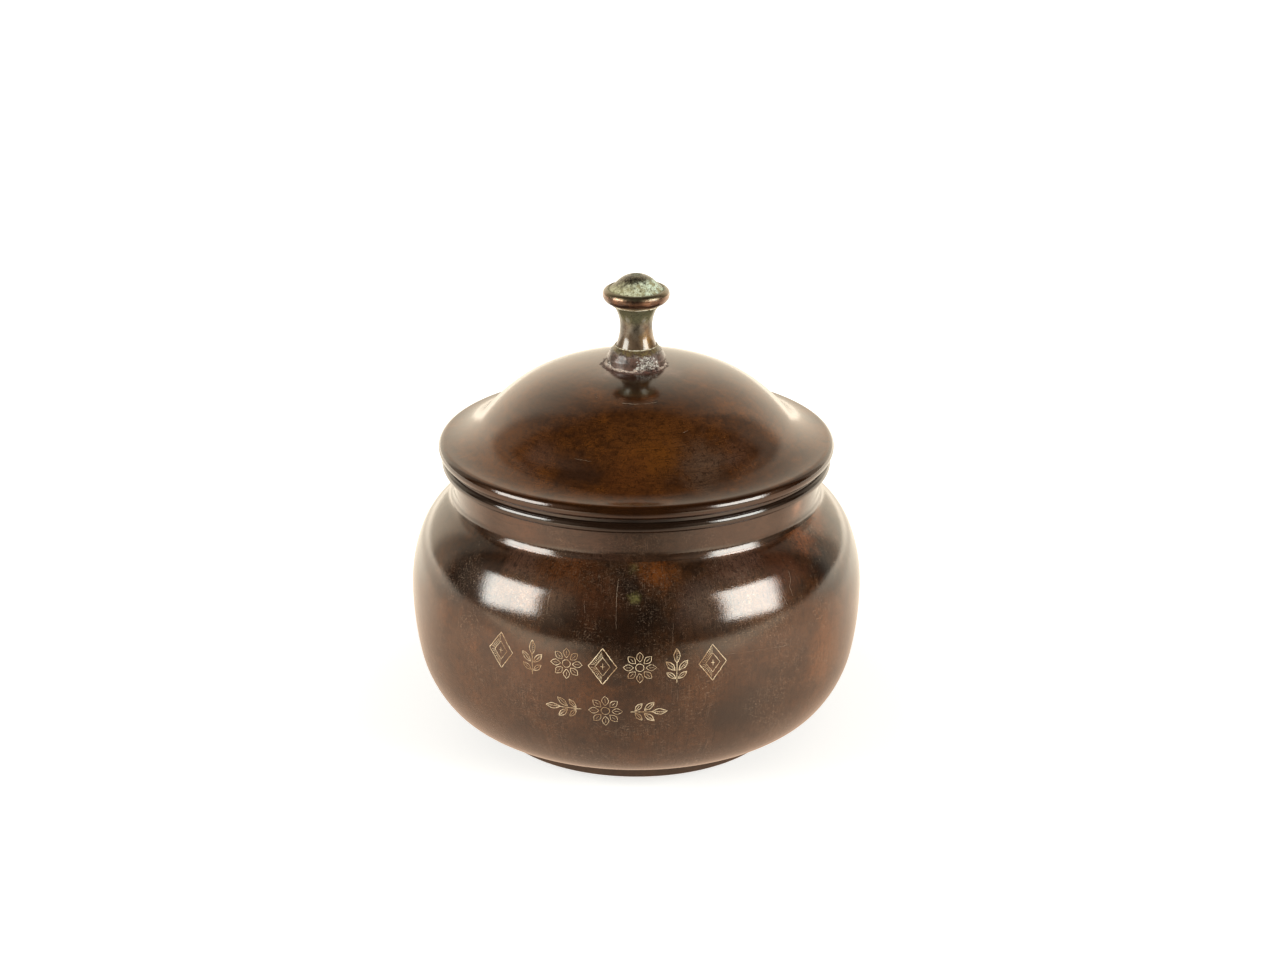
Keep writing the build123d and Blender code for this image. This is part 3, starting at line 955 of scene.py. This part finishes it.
def circle(wide, count=14):
    """Points round a circle of a given width."""
    angles = [math.tau * i / count for i in range(count)]
    return [Vector((0.5 * wide * math.cos(angle), 0.5 * wide * math.sin(angle))) for angle in angles]


def leaf(length, wide, turn, count=10):
    """Points round a leaf pointed at both ends, and points along its midrib."""
    right = []
    for i in range(count + 1):
        right.append(Vector((0.5 * wide * math.sin(math.pi * i / count), length * (i / count - 0.5))))
    left = [Vector((-p.x, p.y)) for p in right[-2:0:-1]]
    rib = [Vector((0, -0.46 * length)), Vector((0, 0.46 * length))]
    for point in right + left + rib:
        point.rotate(Matrix.Rotation(turn, 2))
    return right + left, rib


def cut_lozenge(marks, centre):
    """A lozenge in a lozenge, the ring between them hatched on one side."""
    high, wide = 13.0, 9.6
    for share, width in ((1.0, 0.34), (0.52, 0.24)):
        marks.stroke(
            [(0, share * high / 2), (share * wide / 2, 0), (0, -share * high / 2), (-share * wide / 2, 0)],
            width, centre, closed=True,
        )
    for i in range(9):
        t = 0.08 + 0.1 * i
        for outer in (-wide / 2 * t, high / 2 * (1 - t)), (-wide / 2 * (1 - t), -high / 2 * t):
            marks.stroke([Vector(outer) * 0.95, Vector(outer) * 0.56], 0.17, centre)
    marks.stroke([(0, 1.3), (0, -1.3)], 0.26, centre)
    marks.stroke([(-0.9, 0), (0.9, 0)], 0.26, centre)


def cut_rosette(marks, centre, size=11.5):
    """A rosette of eight petals round a small ring."""
    for i in range(8):
        turn = math.tau * i / 8
        outline, rib = leaf(0.30 * size, 0.19 * size, turn)
        shift = Vector((-math.sin(turn), math.cos(turn))) * 0.33 * size
        marks.stroke([p + shift for p in outline], 0.24, centre, closed=True, spacing=0.35)
        marks.stroke([p * 0.6 + shift for p in rib], 0.16, centre)
    marks.stroke(circle(0.24 * size), 0.28, centre, closed=True, spacing=0.3)


SPRAY_LENGTH = 12.6
SPRAY_LEAVES = [  # place and size as shares of the length, and lean
    (0, 0.30, 0.40, 0.0),
    (-0.17, 0.02, 0.36, 0.75), (0.17, 0.02, 0.36, -0.75),
    (-0.15, -0.26, 0.30, 0.9), (0.15, -0.26, 0.30, -0.9),
]


def cut_spray(marks, centre, turn=0.0):
    """A stem with a leaf at its tip and two pairs of small leaves."""
    length = SPRAY_LENGTH

    def turned(point):
        point = Vector(point)
        point.rotate(Matrix.Rotation(turn, 2))
        return point

    marks.stroke([turned((0, -0.5 * length)), turned((0, 0.12 * length))], 0.30, centre)
    for across, up, size, lean in SPRAY_LEAVES:
        outline, rib = leaf(size * length, 0.42 * size * length, turn + lean)
        shift = turned((across * length, up * length))
        marks.stroke([p + shift for p in outline], 0.30, centre, closed=True, spacing=0.4)
        marks.stroke([p + shift for p in rib], 0.17, centre)
        start, end = rib
        for i in range(1, 6):
            on_rib = start.lerp(end, i / 6.5)
            side = Vector((end.y - start.y, start.x - end.x)) * 0.15
            marks.stroke([on_rib + shift, on_rib + side + (end - start) * 0.10 + shift], 0.13, centre)


ROW = ["lozenge", "spray", "rosette", "lozenge", "rosette", "spray", "lozenge"]
# Height in millimetres of each row's middle, its angle from the front, and the angle of a step
UPPER_ROW = (55.0, math.radians(-8.0), math.radians(8.9))
LOWER_ROW = (38.3, math.radians(-7.5), math.radians(10.5))


def make_engraving():
    """Two rows of traditional sprig, rosette and lozenge ornament on the front."""
    skin = Skin(belly_outline(), BOWL_SWELL)
    marks = Marks(skin, seed=11)
    cutters = {"lozenge": cut_lozenge, "rosette": cut_rosette, "spray": cut_spray}
    height, middle, step = UPPER_ROW
    for i, kind in enumerate(ROW):
        cutters[kind](marks, (middle + (i - 3) * step, skin.at_height(height)))
    height, middle, step = LOWER_ROW
    lower = skin.at_height(height)
    cut_spray(marks, (middle - step, lower), turn=math.radians(90))
    cut_rosette(marks, (middle, lower), size=12.0)
    cut_spray(marks, (middle + step, lower), turn=math.radians(-90))
    marks.piece("engraved_ornament", engraving_finish, JAR, "patinated_sheet")


# Azimuth, height or radius, width and points across and up, in degrees and millimetres
BELLY_SCRATCHES = [
    (-5.0, 76, 0.12, [(0.3, 9), (0.0, 2), (0.2, -9)]),
    (-22.8, 75, 0.10, [(0.0, 5), (0.2, -5)]),
    (-13.0, 74, 0.09, [(-0.4, 3), (0.3, -2)]),
    (39.7, 73, 0.13, [(-0.6, 6), (0.6, 3), (0.4, -1), (1.8, -5)]),
    (43.5, 74, 0.12, [(1.5, 5.5), (0.8, 2), (-0.6, 0), (-0.4, -4)]),
    (31.0, 56, 0.09, [(-13, 1.2), (0, 0.3), (13, -1.2)]),
    (-32.0, 79, 0.10, [(-2, 0.6), (2, -0.2)]),
    (9.0, 66, 0.09, [(0.2, 4), (-0.2, -3)]),
]
LID_SCRATCHES = [
    (2.0, 31.5, 0.13, [(-6, 0.2), (-2, -0.3), (3, -0.2), (6, 0.4)]),
    (-26.0, 30.0, 0.11, [(-1.0, 0.5), (0.8, -0.4)]),
    (22.0, 44.0, 0.10, [(-1.2, -0.3), (1.2, 0.3)]),
    (-20.0, 52.0, 0.08, [(-3, 0.2), (3, 0.0)]),
]
SCRATCH = {"spacing": 0.8, "shake": 0.07}


def make_scratches():
    """Fine bright scratches in the lacquer of the belly and the lid."""
    belly = Marks(Skin(belly_outline(), BOWL_SWELL), seed=23)
    for azimuth, height, width, points in BELLY_SCRATCHES:
        centre = (math.radians(azimuth), belly.skin.at_height(height))
        belly.stroke(points, width, centre, **SCRATCH)
    belly.piece("belly_scratches", scratch_finish, JAR, "patinated_sheet")
    lid = Marks(Skin(lid_outline(), LID_SWELL), seed=29)
    for azimuth, radius, width, points in LID_SCRATCHES:
        centre = (math.radians(azimuth), lid.skin.at_radius(radius))
        lid.stroke([(x, -y) for x, y in points], width, centre, **SCRATCH)
    lid.piece("lid_scratches", scratch_finish, LID, "patinated_sheet")


make_engraving()
make_scratches()
make_bowl()
make_neck()
make_foot()
make_lid()
make_knob()
make_joint_lines()
make_solder()

for node, finish in {
    "neck_wire": brass_finish, "lid_wire": brass_finish, "lid_bezel": seat_finish,
    "knob_stud": brass_finish, "knob_washer": brass_finish, "knob_nut": brass_finish,
}.items():
    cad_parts[node].data.materials.clear()
    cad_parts[node].data.materials.append(finish)

# ---- floor, light, camera ----

def light_paths(nodes):
    """Which kind of ray asks: seen by the camera, or seen in a reflection."""
    paths = nodes.node("ShaderNodeLightPath")
    return paths.outputs["Is Camera Ray"], paths.outputs["Is Glossy Ray"]


FLOOR_EDGES = (-1.6, 1.6, -0.56, 2.2)  # left, right, front and back, in metres
FLOOR_COLOUR = (0.86, 0.85, 0.83)
FLOOR_CLEARS = (0.09, 0.20, 0.55, 1.0)  # the jar's shadow dies out: distances, then brightness
# Colours of the floor in reflections, and the places in metres from the front to behind
# between which one turns into the next
FLOOR_IN_FRONT = (1.20, 1.00, 0.75)
FLOOR_NEAR = (0.83, 0.58, 0.415)
FLOOR_BEHIND = (0.70, 0.62, 0.50)
FLOOR_COOLS = (-0.15, -0.30)
FLOOR_PALES = (-0.04, 0.20)
# Brightness of the floor in reflections. Each change has two distances in metres, and the
# brightness at them.
DARK_POOL = (0, -0.5, 0)  # the darkest place, in front
DARK_POOL_SQUEEZE = (1.9, 1, 0)  # it is narrower than deep
DARK_POOL_FADE = (0.23, 0.45, 0.07, 1.0)
FLOOR_BRIGHTENS = (0.10, 0.6, 1.0, 2.2)  # behind the jar
UNDER_LAMP = (0.17, 0.16, 0)  # at both sides, under the lamps
UNDER_LAMP_FADE = (0.05, 0.22, 1.75, 1.0)
BESIDE_JAR = (0.10, 0.03, 0)  # close to the jar's sides
BESIDE_JAR_FADE = (0.0, 0.09, 0.80, 1.0)
FLOOR_ASIDE = (0.14, 0.40, 1.0, 1.45)  # further out at both sides


def make_floor():
    """A pale table top, white to the camera clear of the jar and shaded in reflections."""
    left, right, front, back = FLOOR_EDGES
    corners = [(left, front, 0), (right, front, 0), (right, back, 0), (left, back, 0)]
    floor = add_mesh("floor", corners, [(0, 1, 2, 3)], [])
    r = Recipe("pale_floor")
    r.tree.nodes.remove(r.shader)
    to_camera, to_gloss = light_paths(r)
    x, y, _ = r.parts(r.place)
    diffuse = r.wired("ShaderNodeBsdfDiffuse", Color=r.mix(to_gloss, FLOOR_COLOUR, (0, 0, 0)))
    squeezed = r.vector("MULTIPLY", r.place, DARK_POOL_SQUEEZE)
    mirrored = r.vector("ABSOLUTE", r.place)
    level = r.times(
        r.ramp(r.vector("DISTANCE", squeezed, DARK_POOL), *DARK_POOL_FADE),
        r.ramp(y, *FLOOR_BRIGHTENS),
        r.step(r.vector("DISTANCE", mirrored, UNDER_LAMP), *UNDER_LAMP_FADE),
        r.step(r.vector("DISTANCE", mirrored, BESIDE_JAR), *BESIDE_JAR_FADE),
        r.step(r.math("ABSOLUTE", x), *FLOOR_ASIDE),
    )
    in_gloss = r.mix(r.step(y, *FLOOR_PALES), FLOOR_NEAR, FLOOR_BEHIND)
    in_gloss = r.mix(r.step(y, *FLOOR_COOLS), in_gloss, FLOOR_IN_FRONT)
    clear = r.step(r.radius(), *FLOOR_CLEARS)
    strength = r.plus(r.times(to_camera, clear), r.times(to_gloss, level))
    glow = r.wired("ShaderNodeEmission", Color=r.mix(to_gloss, (1, 1, 1), in_gloss), Strength=strength)
    both = r.fed("ShaderNodeAddShader", (diffuse.outputs[0], glow.outputs[0]))
    r.link(both.outputs[0], r.tree.nodes["Material Output"].inputs["Surface"])
    floor.data.materials.append(r.material)


LAMP_COLOUR = (0.98, 1.03, 0.99)
LAMPS_AIM = Vector((0, 0, 0.08))
LAMPS_DISTANCE = 1.2
SOFTBOXES = [  # name, azimuth, elevation, width, height, roll, radiance
    ("left_softbox", -68, 18.2, 31, 29, 12, 8.3),
    ("right_softbox", 60.7, 18.2, 29, 30, -9, 9.3),
]


def aim(azimuth, elevation):
    """A direction from degrees. Azimuth runs from the front to the right."""
    az, el = math.radians(azimuth), math.radians(elevation)
    return Vector((math.sin(az) * math.cos(el), -math.cos(az) * math.cos(el), math.sin(el)))


def softbox(name, azimuth, elevation, wide, high, roll, radiance):
    """A rectangular lamp that faces the jar, its sizes in degrees as seen from it."""
    away = aim(azimuth, elevation)
    lamp = bpy.data.lights.new(name, "AREA")
    lamp.shape = "RECTANGLE"
    lamp.size = 2 * LAMPS_DISTANCE * math.tan(math.radians(wide / 2))
    lamp.size_y = 2 * LAMPS_DISTANCE * math.tan(math.radians(high / 2))
    lamp.energy = radiance * math.pi * lamp.size * lamp.size_y
    lamp.color = LAMP_COLOUR
    holder = bpy.data.objects.new(name, lamp)
    holder.location = LAMPS_AIM + away * LAMPS_DISTANCE
    facing = (-away).to_track_quat("-Z", "Y")
    holder.rotation_euler = (Quaternion(away, math.radians(roll)) @ facing).to_euler()
    bpy.context.scene.collection.objects.link(holder)


BACKDROP = (1.32, 1.17, 0.92)
DARK_ROOM = (0.012, 0.009, 0.007)
HALO = (0.36, 0.29, 0.22)  # light spilt round each softbox
FILL = (0.34, 0.31, 0.28)
HALO_FADES = (math.cos(math.radians(42)), math.cos(math.radians(15)))
# Where the backdrop fades out upwards, and where it and a fainter side wall begin, from the front
# (-1) to behind (1), each with its share before and after
BACKDROP_FADES = (math.radians(16), math.radians(68), 1.0, 0.0)
BACKDROP_EDGE = (0.60, 0.74, 0.0, 0.62)
SIDE_WALL_EDGE = (0.32, 0.48, 0.0, 0.38)
LEAST_LEVEL = 0.001  # keeps straight up from a division by zero


def make_world():
    """A dark studio with a bright backdrop behind the jar, white to the camera."""
    world = bpy.data.worlds.new("studio")
    bpy.context.scene.world = world
    world.use_nodes = True
    n = Nodes(world.node_tree)
    sky = n.node("ShaderNodeTexCoord").outputs["Generated"]
    x, y, z = n.parts(sky)
    level = n.math("SQRT", n.plus(n.times(x, x), n.times(y, y)))
    behind = n.math("DIVIDE", y, n.math("MAXIMUM", level, LEAST_LEVEL))
    sides = n.plus(n.step(behind, *BACKDROP_EDGE), n.step(behind, *SIDE_WALL_EDGE))
    backdrop = n.times(n.ramp(n.math("ARCSINE", z), *BACKDROP_FADES), sides)
    to_camera, to_gloss = light_paths(n)
    halo = 0.0
    for _, azimuth, elevation, *_ in SOFTBOXES:
        towards = n.vector("DOT_PRODUCT", sky, aim(azimuth, elevation))
        halo = n.math("MAXIMUM", halo, n.step(towards, *HALO_FADES))
    room = n.mix(backdrop, n.mix(halo, DARK_ROOM, HALO), BACKDROP)
    colour = n.mix(to_camera, n.mix(to_gloss, FILL, room), (1, 1, 1))
    n.link(colour, n.tree.nodes["Background"].inputs["Color"])


CAMERA_DISTANCE = 1.0
CAMERA_RISE = math.radians(21.2)
CAMERA_TARGET = Vector((0.00131, 0.0, 0.09085))
CAMERA_LENS = 79.6
SENSOR_WIDTH = 36.0


def make_camera():
    camera = bpy.data.cameras.new("camera")
    camera.sensor_width = SENSOR_WIDTH
    camera.lens = CAMERA_LENS
    holder = bpy.data.objects.new("camera", camera)
    back = Vector((0, -math.cos(CAMERA_RISE), math.sin(CAMERA_RISE)))
    holder.location = CAMERA_TARGET + CAMERA_DISTANCE * back
    holder.rotation_euler = (math.pi / 2 - CAMERA_RISE, 0, 0)
    bpy.context.scene.collection.objects.link(holder)
    bpy.context.scene.camera = holder


make_floor()
for settings in SOFTBOXES:
    softbox(*settings)
make_world()
make_camera()
bpy.context.scene.view_settings.view_transform = "Standard"
